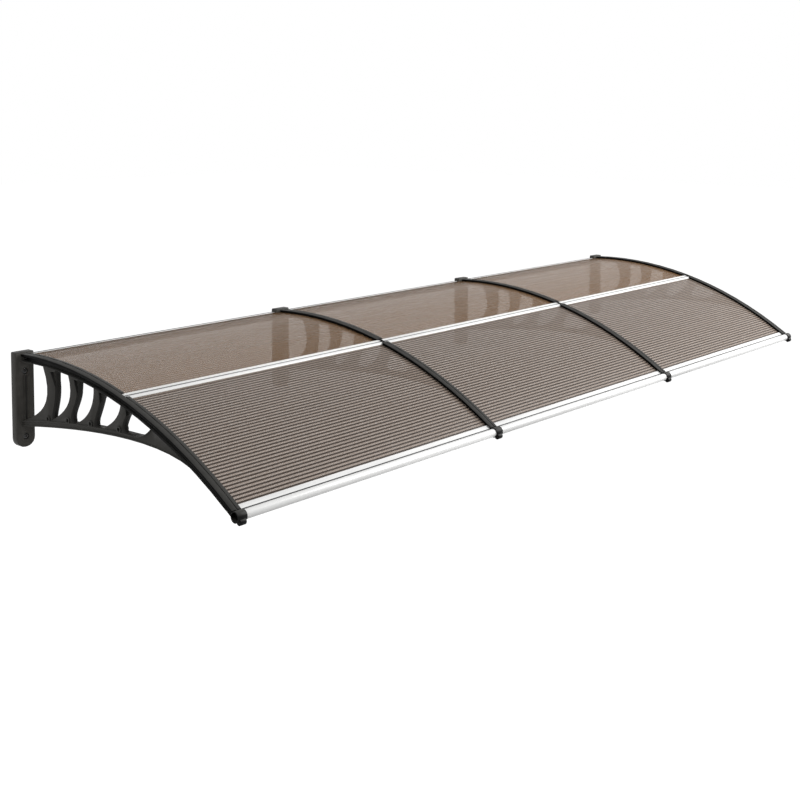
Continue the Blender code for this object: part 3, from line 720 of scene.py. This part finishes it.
def screw_metal(settings):
    """Blackened steel, a little worn."""
    material, tree, shader, place = new_material("screw_black")
    wear = noise(tree, place, scale=700.0, detail=4.0)
    tinted(tree, shader, settings.screw, wear, (0.35, 0.7), (0.7, 1.4))
    roughened(tree, shader, wear, *SCREW_ROUGHNESS)
    shader.inputs["Metallic"].default_value = SCREW_METALLIC
    return material


# Meshes

# Corners nearer than this are one, and faces within this angle are one flat face
MERGE_DISTANCE = 1e-5
FLAT_ANGLE = math.radians(0.3)
# Edges sharper than these stay sharp, and those of a solid are rounded first
SOLID_SHARP = math.radians(32)
SHEET_SHARP = math.radians(30)
SCREW_SHARP = math.radians(40)
EDGE_SEGMENTS = 2
# The dome and the socket of a screw's head, as a share of the head's height
DOME_SHARE = 0.6


def new_object(name, data):
    """A new object in the scene."""
    made = bpy.data.objects.new(name, data)
    bpy.context.scene.collection.objects.link(made)
    return made


def smooth_by_angle(mesh, angle):
    """Smooth shading, with the edges sharper than an angle left sharp."""
    mesh.shade_smooth()
    mesh.set_sharp_from_angle(angle=angle)


def solid_copy(node):
    """A copy of a frame solid whose triangles are merged back into its flat faces."""
    name = f"{node}_finish"
    data = frame["nodes"][node].data.copy()
    data.name = name
    mesh = bmesh.new()
    mesh.from_mesh(data)
    bmesh.ops.remove_doubles(mesh, verts=mesh.verts, dist=MERGE_DISTANCE)
    bmesh.ops.dissolve_limit(mesh, angle_limit=FLAT_ANGLE, verts=mesh.verts, edges=mesh.edges)
    mesh.to_mesh(data)
    mesh.free()
    return new_object(name, data)


def bake(obj):
    """Turn an object's modifiers into its plain mesh."""
    result = obj.evaluated_get(bpy.context.evaluated_depsgraph_get())
    made = bpy.data.meshes.new_from_object(result)
    obj.modifiers.clear()
    obj.data = made


def rounded_copy(node, edge, material):
    """A frame solid with rounded edges and a finish, which stands for the solid."""
    copy = solid_copy(node)
    bevel = copy.modifiers.new("rounded", "BEVEL")
    bevel.width = edge
    bevel.segments = EDGE_SEGMENTS
    bevel.limit_method = "ANGLE"
    bevel.angle_limit = SOLID_SHARP
    bake(copy)
    smooth_by_angle(copy.data, SOLID_SHARP)
    copy.data.materials.clear()
    copy.data.materials.append(material)
    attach(copy, BODY)
    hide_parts(node)


# Geometry Nodes


class TreeMaker:
    """A small helper that writes a Geometry Nodes tree."""

    def __init__(self, name, inputs):
        self.tree = bpy.data.node_groups.new(name, "GeometryNodeTree")
        face = self.tree.interface
        face.new_socket("Geometry", in_out="OUTPUT", socket_type="NodeSocketGeometry")
        self.keys = {}
        for label, kind in inputs:
            self.keys[label] = face.new_socket(label, in_out="INPUT", socket_type=kind).identifier
        self.entry = self.tree.nodes.new("NodeGroupInput")

    def value(self, label):
        """The socket of an input."""
        return self.entry.outputs[label]

    def link(self, value, socket):
        """Set a socket to a number or to another node's socket."""
        if isinstance(value, bpy.types.NodeSocket):
            self.tree.links.new(value, socket)
        else:
            socket.default_value = value

    def node(self, kind, values=None, **settings):
        """A node with its inputs set by name and its properties by keyword."""
        node = add_node(self.tree, kind, **settings)
        for name, value in (values or {}).items():
            self.link(value, node.inputs[name])
        return node

    def maths(self, operation, first, second=0.0):
        """The output of a Math node on one or two values."""
        node = self.node("ShaderNodeMath", operation=operation)
        self.link(first, node.inputs[0])
        self.link(second, node.inputs[1])
        return node.outputs[0]

    def vector(self, x=0.0, y=0.0, z=0.0):
        """A vector socket made of three values."""
        return self.node("ShaderNodeCombineXYZ", {"X": x, "Y": y, "Z": z}).outputs[0]

    def place(self):
        """The X, Y and Z sockets of where a point is."""
        position = self.node("GeometryNodeInputPosition").outputs[0]
        return self.node("ShaderNodeSeparateXYZ", {"Vector": position}).outputs

    def join(self, pieces):
        """The geometry of several pieces in one."""
        node = self.node("GeometryNodeJoinGeometry")
        for piece in pieces:
            self.tree.links.new(piece, node.inputs[0])
        return node.outputs[0]

    def finish(self, geometry):
        """End the tree with Realize Instances and Set Material."""
        real = self.node("GeometryNodeRealizeInstances", {"Geometry": geometry})
        values = {"Geometry": real.outputs[0], "Material": self.value("Material")}
        look = self.node("GeometryNodeSetMaterial", values)
        exit_node = self.tree.nodes.new("NodeGroupOutput")
        self.tree.links.new(look.outputs[0], exit_node.inputs["Geometry"])

    def apply(self, obj, values):
        """Run the tree on an object with the given inputs and keep the plain mesh."""
        modifier = obj.modifiers.new(self.tree.name, "NODES")
        modifier.node_group = self.tree
        for label, value in values.items():
            modifier[self.keys[label]] = value
        bake(obj)


def sheet_tree():
    """A flat twin-wall sheet, two skins with ribs between them, bent onto the arch.

    The heel is the narrower stretch by the wall, which fits between two wall plates.
    """
    numbers = (
        "Width", "Length", "Start", "Thickness", "Skin", "Rib", "Heel Width", "Heel Length",
        "Arch Radius", "Arch Reach", "Arch Top", "Middle X",
    )
    inputs = [(label, "NodeSocketFloat") for label in numbers]
    inputs += [("Cells", "NodeSocketInt"), ("Material", "NodeSocketMaterial")]
    maker = TreeMaker("twin_wall_sheet", inputs)
    get, maths, node = maker.value, maker.maths, maker.node
    half_skin = maths("MULTIPLY", get("Skin"), 0.5)
    depths = (
        maths("MULTIPLY", half_skin, -1.0),
        maths("SUBTRACT", half_skin, get("Thickness")),
    )

    def stored(geometry, name, value):
        """The geometry with a value kept on its points under a name."""
        values = {"Geometry": geometry, "Name": name, "Value": value}
        return node("GeometryNodeStoreNamedAttribute", values, data_type="FLOAT", domain="POINT").outputs[0]

    def skins(width, start, length):
        """The upper and the lower skin of a stretch of the sheet."""
        middle = maths("ADD", start, maths("MULTIPLY", length, 0.5))
        size = maker.vector(width, length, get("Skin"))
        box = node("GeometryNodeMeshCube", {"Size": size, "Vertices Y": maths("ADD", get("Cells"), 1.0)})
        moved = []
        for depth, is_upper in zip(depths, (1.0, 0.0)):
            place = maker.vector(0.0, middle, depth)
            skin = node("GeometryNodeTransform", {"Geometry": box.outputs[0], "Translation": place})
            moved.append(stored(skin.outputs[0], "upper", is_upper))
        return maker.join(moved)

    heel_end = maths("ADD", get("Start"), get("Heel Length"))
    main = skins(get("Width"), heel_end, maths("SUBTRACT", get("Length"), get("Heel Length")))
    heel = skins(get("Heel Width"), get("Start"), get("Heel Length"))
    has_heel = maths("GREATER_THAN", get("Heel Length"), 0.0)
    heel = node("GeometryNodeSwitch", {"Switch": has_heel, "True": heel}, input_type="GEOMETRY").outputs[0]

    # Ribs across the whole length, shorter in the heel
    span = maths("SUBTRACT", get("Length"), get("Rib"))
    pitch = maths("DIVIDE", span, get("Cells"))
    first = maths("ADD", get("Start"), maths("MULTIPLY", get("Rib"), 0.5))
    line = node(
        "GeometryNodeMeshLine",
        {
            "Count": maths("ADD", get("Cells"), 1.0),
            "Start Location": maker.vector(0.0, first, maths("MULTIPLY", get("Thickness"), -0.5)),
            "Offset": maker.vector(0.0, pitch, 0.0),
        },
    )
    rib_height = maths("SUBTRACT", get("Thickness"), maths("MULTIPLY", get("Skin"), 2.0))
    rib = node("GeometryNodeMeshCube", {"Size": maker.vector(get("Width"), get("Rib"), rib_height)})
    place = maker.place()
    in_heel = maths("LESS_THAN", place["Y"], heel_end)
    narrow = maths("DIVIDE", get("Heel Width"), get("Width"))
    share = maths("ADD", 1.0, maths("MULTIPLY", in_heel, maths("SUBTRACT", narrow, 1.0)))
    ribs = node(
        "GeometryNodeInstanceOnPoints",
        {"Points": line.outputs[0], "Instance": rib.outputs[0], "Scale": maker.vector(share, 1.0, 1.0)},
    )
    ribs = node("GeometryNodeRealizeInstances", {"Geometry": ribs.outputs[0]})
    inner = stored(ribs.outputs[0], "upper", -1.0)

    # Each point keeps its place among the ribs, and the flat sheet is then bent
    flat = node("GeometryNodeRealizeInstances", {"Geometry": maker.join([main, heel, inner])})
    phase = maths("DIVIDE", maths("SUBTRACT", place["Y"], first), pitch)
    marked = stored(flat.outputs[0], "flute", phase)
    radius = maths("ADD", get("Arch Radius"), place["Z"])
    angle = maths("DIVIDE", place["Y"], get("Arch Radius"))
    out = maths("ADD", get("Arch Reach"), maths("MULTIPLY", radius, maths("SINE", angle)))
    rise = maths("MULTIPLY", radius, maths("COSINE", angle))
    height = maths("ADD", maths("SUBTRACT", get("Arch Top"), get("Arch Radius")), rise)
    x = maths("ADD", place["X"], get("Middle X"))
    bent = maker.vector(x, maths("MULTIPLY", out, -1.0), height)
    shaped = node("GeometryNodeSetPosition", {"Geometry": marked, "Position": bent})
    maker.finish(shaped.outputs[0])
    return maker


def screw_tree():
    """Domed screws with a round socket, one on each vertex of a mesh, pointing away from the wall."""
    numbers = (
        "Head Radius", "Head Height", "Dome", "Socket Radius", "Socket Depth", "Shank Radius", "Shank Length",
    )
    inputs = [("Geometry", "NodeSocketGeometry")] + [(label, "NodeSocketFloat") for label in numbers]
    inputs.append(("Material", "NodeSocketMaterial"))
    maker = TreeMaker("wall_screw_heads", inputs)
    get, maths, node = maker.value, maker.maths, maker.node
    rim_height = maths("SUBTRACT", get("Head Height"), get("Dome"))
    head = node(
        "GeometryNodeMeshCylinder",
        {"Vertices": 32, "Fill Segments": 8, "Radius": get("Head Radius"), "Depth": rim_height},
    )
    place = maker.place()
    x, y, z = (place[axis] for axis in "XYZ")
    reach = maths("SQRT", maths("ADD", maths("MULTIPLY", x, x), maths("MULTIPLY", y, y)))
    share = maths("DIVIDE", reach, get("Head Radius"))
    dome = maths("MULTIPLY", get("Dome"), maths("SUBTRACT", 1.0, maths("MULTIPLY", share, share)))
    in_socket = maths("LESS_THAN", reach, get("Socket Radius"))
    dip = maths("MULTIPLY", in_socket, get("Socket Depth"))
    is_top = maths("GREATER_THAN", z, 0.0)
    lift = maths("MULTIPLY", is_top, maths("SUBTRACT", dome, dip))
    domed = node(
        "GeometryNodeSetPosition",
        {"Geometry": head.outputs["Mesh"], "Offset": maker.vector(z=lift)},
    )
    raised = node(
        "GeometryNodeTransform",
        {"Geometry": domed.outputs[0], "Translation": maker.vector(z=maths("MULTIPLY", rim_height, 0.5))},
    )
    shank = node(
        "GeometryNodeMeshCylinder",
        {"Vertices": 16, "Radius": get("Shank Radius"), "Depth": get("Shank Length")},
    )
    middle = maths("MULTIPLY", get("Shank Length"), -0.5)
    sunk = node(
        "GeometryNodeTransform",
        {"Geometry": shank.outputs["Mesh"], "Translation": maker.vector(z=middle)},
    )
    screw = maker.join([raised.outputs[0], sunk.outputs[0]])
    turn = node("FunctionNodeEulerToRotation", {"Euler": (math.radians(90), 0.0, 0.0)})
    screws = node(
        "GeometryNodeInstanceOnPoints",
        {"Points": get("Geometry"), "Instance": screw, "Rotation": turn.outputs[0]},
    )
    maker.finish(screws.outputs[0])
    return maker


# Pieces


class CANOPY_OT_brackets(bpy.types.Operator):
    """Make the four moulded brackets with rounded edges."""

    bl_idname = "canopy.brackets"
    bl_label = "Make Brackets"

    def execute(self, context):
        settings = context.scene.canopy_plastic
        side = bracket_colours(settings, context.scene.canopy_sheets)
        look = moulded_plastic("bracket_black", side, settings.lit_top, BRACKET_MOULDING)
        for node in nodes_named("bracket"):
            rounded_copy(node, settings.bracket_edge, look)
        return {"FINISHED"}


class CANOPY_OT_strips(bpy.types.Operator):
    """Make the cover strips over the brackets' arms."""

    bl_idname = "canopy.strips"
    bl_label = "Make Cover Strips"

    def execute(self, context):
        settings = context.scene.canopy_plastic
        look = moulded_plastic("strip_black", settings.strip_shade_side, settings.lit_top, STRIP_MOULDING)
        for node in nodes_named("cover_strip"):
            rounded_copy(node, settings.strip_edge, look)
        return {"FINISHED"}


def along_arch(settings, depth):
    """The length along the arch from its highest line to a distance from the wall."""
    return math.asin((depth - settings.arch_reach) / settings.arch_radius) * settings.arch_radius


class CANOPY_OT_sheets(bpy.types.Operator):
    """Make the six twin-wall sheets, each bent onto the arch."""

    bl_idname = "canopy.sheets"
    bl_label = "Make Sheets"

    def execute(self, context):
        settings = context.scene.canopy_sheets
        # Painted light: the front and rear sheets are one plastic in two copies; the rear one's colour, cover
        # and weaker lines stand in for the light it catches
        front = sheet_plastic("front_polycarbonate", settings, settings.light, settings.cover, 1.0)
        rear = sheet_plastic(
            "rear_polycarbonate_lit", settings, settings.rear_lit_flute, settings.rear_lit_cover, settings.rear_lit_line
        )
        maker = sheet_tree()
        for node in nodes_named("roof_sheet"):
            low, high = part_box(node)
            start, end = along_arch(settings, -high.y), along_arch(settings, -low.y)
            width = high.x - low.x
            heel = 0.0
            if -high.y < settings.plate_depth:
                heel = along_arch(settings, settings.plate_depth) - start
            sheet = new_object(f"{node}_clear", bpy.data.meshes.new(node))
            values = {
                "Width": width,
                "Length": end - start,
                "Start": start,
                "Thickness": settings.thickness,
                "Skin": settings.skin,
                "Rib": settings.rib,
                "Heel Width": width - 2 * settings.plate_room,
                "Heel Length": heel,
                "Arch Radius": settings.arch_radius,
                "Arch Reach": settings.arch_reach,
                "Arch Top": settings.arch_top,
                "Middle X": (low.x + high.x) / 2,
                "Cells": round((end - start) / settings.cell),
                "Material": rear if "rear" in node else front,
            }
            maker.apply(sheet, values)
            smooth_by_angle(sheet.data, SHEET_SHARP)
            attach(sheet, BODY)
            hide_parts(node)
        return {"FINISHED"}


class CANOPY_OT_bars(bpy.types.Operator):
    """Make the rear, middle and front bars."""

    bl_idname = "canopy.bars"
    bl_label = "Make Bars"

    def execute(self, context):
        settings = context.scene.canopy_metal
        sheets = context.scene.canopy_sheets
        arch_y = -sheets.arch_reach
        arch_z = sheets.arch_top - sheets.arch_radius

        # The groove runs along the middle bar's ridge, in the upper quarter of the bar, and is painted darker
        # as painted shade
        low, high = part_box("mid_bar_1")
        middle_y, crest = (low.y + high.y) / 2, high.z - (high.z - low.z) / 4
        from_arch = Vector((middle_y - arch_y, crest - arch_z))
        groove_radius = sheets.arch_radius + settings.groove_rise
        groove = Vector((arch_y, arch_z)) + from_arch.normalized() * groove_radius

        # Painted shade lies in the crease behind the front bar's nose, where its plate starts
        low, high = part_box("front_bar_1")
        nose = Vector((low.y + settings.nose_radius, low.z + settings.nose_radius))
        up = (nose - Vector((arch_y, arch_z))).normalized()
        back = Vector((up.y, -up.x))
        seam = nose + back * settings.crease_shade_forward + up * settings.crease_shade_rise

        # Where the rear bar's painted shade lies
        low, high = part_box("rear_bar_1")
        leg_front, leg_shade_top = high.y - settings.leg_shade_inset, low.z + settings.leg_shade_height
        rear_shade = rear_shade_places(leg_front, leg_shade_top, high.z, settings.top_shade_line)

        # Each kind of bar gets painted shade: in the middle bar's groove, in the front bar's crease and on
        # the rear bar's leg and top
        kinds = (
            ("mid_bar", settings.groove_shade, near_line(groove, settings.groove_shade_reach)),
            ("front_bar", settings.seam, near_line(seam, settings.crease_shade_width)),
            ("rear_bar", settings.seam, rear_shade),
        )
        for start, colour, mask in kinds:
            look = bar_metal(f"{start}_aluminium", settings, colour, mask)
            for node in nodes_named(start):
                rounded_copy(node, settings.bar_edge, look)
        return {"FINISHED"}


class CANOPY_OT_screws(bpy.types.Operator):
    """Make the wall screws in their seats and finish the small arm screws."""

    bl_idname = "canopy.screws"
    bl_label = "Make Screws"

    def execute(self, context):
        settings = context.scene.canopy_metal
        look = screw_metal(settings)
        nodes = nodes_named("wall_screw")
        boxes = [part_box(node) for node in nodes]
        under_heads = [
            ((low.x + high.x) / 2, low.y + settings.head_height, (low.z + high.z) / 2) for low, high in boxes
        ]
        points = bpy.data.meshes.new("wall_screws")
        points.from_pydata(under_heads, [], [])
        screws = new_object("wall_screws", points)
        low, high = boxes[0]
        dome = settings.head_height * DOME_SHARE
        values = {
            "Head Radius": (high.x - low.x) / 2,
            "Head Height": settings.head_height,
            "Dome": dome,
            "Socket Radius": settings.socket_radius,
            "Socket Depth": dome,
            "Shank Radius": settings.shank_radius,
            "Shank Length": high.y - low.y - settings.head_height,
            "Material": look,
        }
        screw_tree().apply(screws, values)
        smooth_by_angle(screws.data, SCREW_SHARP)
        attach(screws, BODY)
        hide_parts(*nodes)
        for node in nodes_named("arm_screw"):
            rounded_copy(node, settings.bar_edge, look)
        return {"FINISHED"}


# The stage

# Half of the floor's side
FLOOR_REACH = 40.0
# The kinds of rays to which the floor and the surroundings are white
WHITE_TO = ("Camera", "Glossy", "Transmission")
# The camera's picture width in millimetres
SENSOR_WIDTH = 36.0


def seen_by(tree, *rays):
    """One for the named kinds of rays, and zero for the others."""
    path = add_node(tree, "ShaderNodeLightPath")
    seen = 0.0
    for ray in rays:
        seen = math_node(tree, "MAXIMUM", path.outputs[f"Is {ray} Ray"], seen)
    return seen


def floor_material(settings):
    """A pale floor that is white to the camera and in reflections, and keeps the shadow that falls on it."""
    material = bpy.data.materials.new("stage_floor")
    material.use_nodes = True
    tree = material.node_tree
    tree.nodes.clear()
    exit_node = add_node(tree, "ShaderNodeOutputMaterial")
    diffuse = add_node(tree, "ShaderNodeBsdfDiffuse")
    glow = add_node(tree, "ShaderNodeEmission")
    grey = settings.floor_grey
    diffuse.inputs["Color"].default_value = (grey, grey, grey, 1.0)
    strength = math_node(tree, "MULTIPLY", seen_by(tree, *WHITE_TO), settings.floor_glow)
    tree.links.new(strength, glow.inputs["Strength"])
    total = add_node(tree, "ShaderNodeAddShader")
    tree.links.new(diffuse.outputs[0], total.inputs[0])
    tree.links.new(glow.outputs[0], total.inputs[1])
    tree.links.new(total.outputs[0], exit_node.inputs["Surface"])
    return material


def lamp(name, centre, offset, size, power):
    """A square soft lamp at an offset from a centre, which it faces."""
    data = bpy.data.lights.new(name, "AREA")
    data.shape = "SQUARE"
    data.size = size
    data.energy = power
    light = new_object(name, data)
    light.location = centre + Vector(offset)
    light.rotation_euler = (centre - light.location).to_track_quat("-Z", "Y").to_euler()


class CANOPY_OT_stage(bpy.types.Operator):
    """Make the floor, the lamps, the surrounding light and the camera."""

    bl_idname = "canopy.stage"
    bl_label = "Make Stage"

    def execute(self, context):
        scene = context.scene
        settings = scene.canopy_stage
        scene.view_settings.view_transform = "Standard"

        sides = ((-1, -1), (1, -1), (1, 1), (-1, 1))
        corners = [(x * FLOOR_REACH, y * FLOOR_REACH, 0.0) for x, y in sides]
        mesh = bpy.data.meshes.new("floor")
        mesh.from_pydata(corners, [], [(0, 1, 2, 3)])
        mesh.materials.append(floor_material(settings))
        floor = new_object("floor", mesh)
        floor.location.z = -settings.floor_drop
        floor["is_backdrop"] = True

        low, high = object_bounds()
        centre = (Vector(low) + Vector(high)) / 2
        lamp("key", centre, settings.key_place, settings.key_size, settings.key_power)
        lamp("fill", centre, settings.fill_place, settings.fill_size, settings.fill_power)

        world = bpy.data.worlds.new("studio")
        world.use_nodes = True
        scene.world = world
        tree = world.node_tree
        background = tree.nodes["Background"]
        background.inputs["Color"].default_value = (1.0, 1.0, 1.0, 1.0)
        strength = ranged(tree, seen_by(tree, *WHITE_TO), 0.0, 1.0, settings.sky, 1.0)
        tree.links.new(strength, background.inputs["Strength"])

        data = bpy.data.cameras.new("camera")
        data.sensor_width = SENSOR_WIDTH
        data.lens = settings.lens
        data.shift_y = settings.shift
        camera = new_object("camera", data)
        camera.location = settings.camera_place
        camera.rotation_euler = (math.radians(90) - settings.pitch, 0.0, -settings.heading)
        scene.camera = camera
        return {"FINISHED"}


class CANOPY_PT_panel(bpy.types.Panel):
    """The canopy's steps and settings in the sidebar."""

    bl_idname = "CANOPY_PT_panel"
    bl_label = "Door Canopy"
    bl_space_type = "VIEW_3D"
    bl_region_type = "UI"
    bl_category = "Canopy"

    def draw(self, context):
        for step in STEPS:
            self.layout.operator(step.bl_idname)
        for name, group in GROUPS.items():
            box = self.layout.box()
            box.label(text=group.__doc__)
            for setting in group.__annotations__:
                box.prop(getattr(context.scene, name), setting)


GROUPS = {
    "canopy_sheets": CanopySheetSettings,
    "canopy_plastic": CanopyPlasticSettings,
    "canopy_metal": CanopyMetalSettings,
    "canopy_stage": CanopyStageSettings,
}
STEPS = (
    CANOPY_OT_brackets,
    CANOPY_OT_strips,
    CANOPY_OT_sheets,
    CANOPY_OT_bars,
    CANOPY_OT_screws,
    CANOPY_OT_stage,
)


def register():
    """Add the settings, the operators and the panel to Blender."""
    for kind in (*GROUPS.values(), *STEPS, CANOPY_PT_panel):
        bpy.utils.register_class(kind)
    for name, group in GROUPS.items():
        setattr(bpy.types.Scene, name, bpy.props.PointerProperty(type=group))


def unregister():
    """Take them out again, in the opposite order."""
    for name in GROUPS:
        delattr(bpy.types.Scene, name)
    for kind in (CANOPY_PT_panel, *reversed(STEPS), *reversed(GROUPS.values())):
        bpy.utils.unregister_class(kind)


def main():
    """Make every piece and the stage."""
    register()
    bpy.ops.canopy.brackets()
    bpy.ops.canopy.strips()
    bpy.ops.canopy.sheets()
    bpy.ops.canopy.bars()
    bpy.ops.canopy.screws()
    bpy.ops.canopy.stage()
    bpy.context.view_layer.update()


if __name__ == "__main__":
    main()
